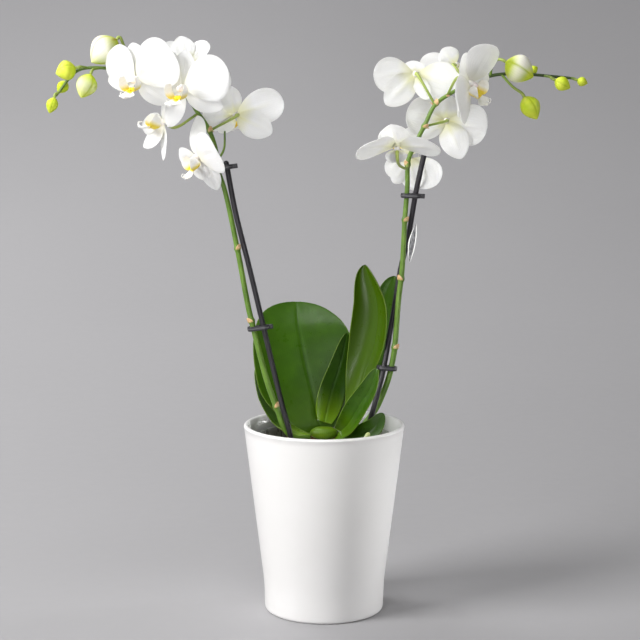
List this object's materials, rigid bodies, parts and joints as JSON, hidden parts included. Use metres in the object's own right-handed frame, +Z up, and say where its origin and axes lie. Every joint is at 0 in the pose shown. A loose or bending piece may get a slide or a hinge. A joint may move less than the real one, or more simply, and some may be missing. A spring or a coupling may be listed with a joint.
{
  "type": "potted orchid",
  "caption": "Potted white moth orchid: two arching flower spikes clipped to stakes above broad green leaves, in a tapered white ceramic pot.",
  "frame": {"origin": "centre of the pot's foot, on the surface it stands on", "axes": "+Z up, -Y towards the front of the plant, +X to the right seen from the front"},
  "size_m": [0.4583, 0.14, 0.4993],
  "materials": {
    "ceramic": "satin white glaze",
    "clear_plastic": "thin translucent grey plastic",
    "bark": "rough orchid bark",
    "root": "dull grey-green root skin",
    "crown": "smooth waxy plant tissue",
    "leaf": "thick waxy leaf, satin gloss",
    "stem": "smooth green stem with tan joints",
    "stake": "thin dark painted stake",
    "clip": "soft dark grey plastic",
    "label": "bare card",
    "petal": "soft white petal",
    "lip": "white and yellow lip",
    "bud": "closed yellow-green bud"
  },
  "bodies": {
    "root": {"bark": "bark", "bloom_left_1": "petal", "bloom_left_2": "petal", "bloom_left_3": "petal", "bloom_left_4": "petal", "bloom_left_5": "petal", "bloom_left_6": "petal", "bloom_right_1": "petal", "bloom_right_2": "petal", "bloom_right_3": "petal", "bloom_right_4": "petal", "bloom_right_5": "petal", "bloom_right_6": "petal", "bud_left_1": "bud", "bud_left_2": "bud", "bud_left_3": "bud", "bud_left_4": "bud", "bud_left_5": "bud", "bud_right_1": "bud", "bud_right_2": "bud", "bud_right_3": "bud", "bud_right_4": "bud", "bud_right_5": "bud", "clip_left_high": "clip", "clip_left_low": "clip", "clip_right_high": "clip", "clip_right_low": "clip", "crown": "crown", "grow_pot": "clear_plastic", "label": "label", "leaf_a_round": "leaf", "leaf_b_middle": "leaf", "leaf_c_low_left": "leaf", "leaf_d_tall": "leaf", "leaf_e_back_right": "leaf", "leaf_f_front_right": "leaf", "leaf_g_rim_right": "leaf", "lip_left_1": "lip", "lip_left_2": "lip", "lip_left_3": "lip", "lip_left_4": "lip", "lip_left_5": "lip", "lip_left_6": "lip", "lip_right_1": "lip", "lip_right_2": "lip", "lip_right_3": "lip", "lip_right_4": "lip", "lip_right_5": "lip", "lip_right_6": "lip", "pot": "ceramic", "roots": "root", "spike_left": "stem", "spike_right": "stem", "stake_left": "stake", "stake_right": "stake"}
  },
  "joints": []
}
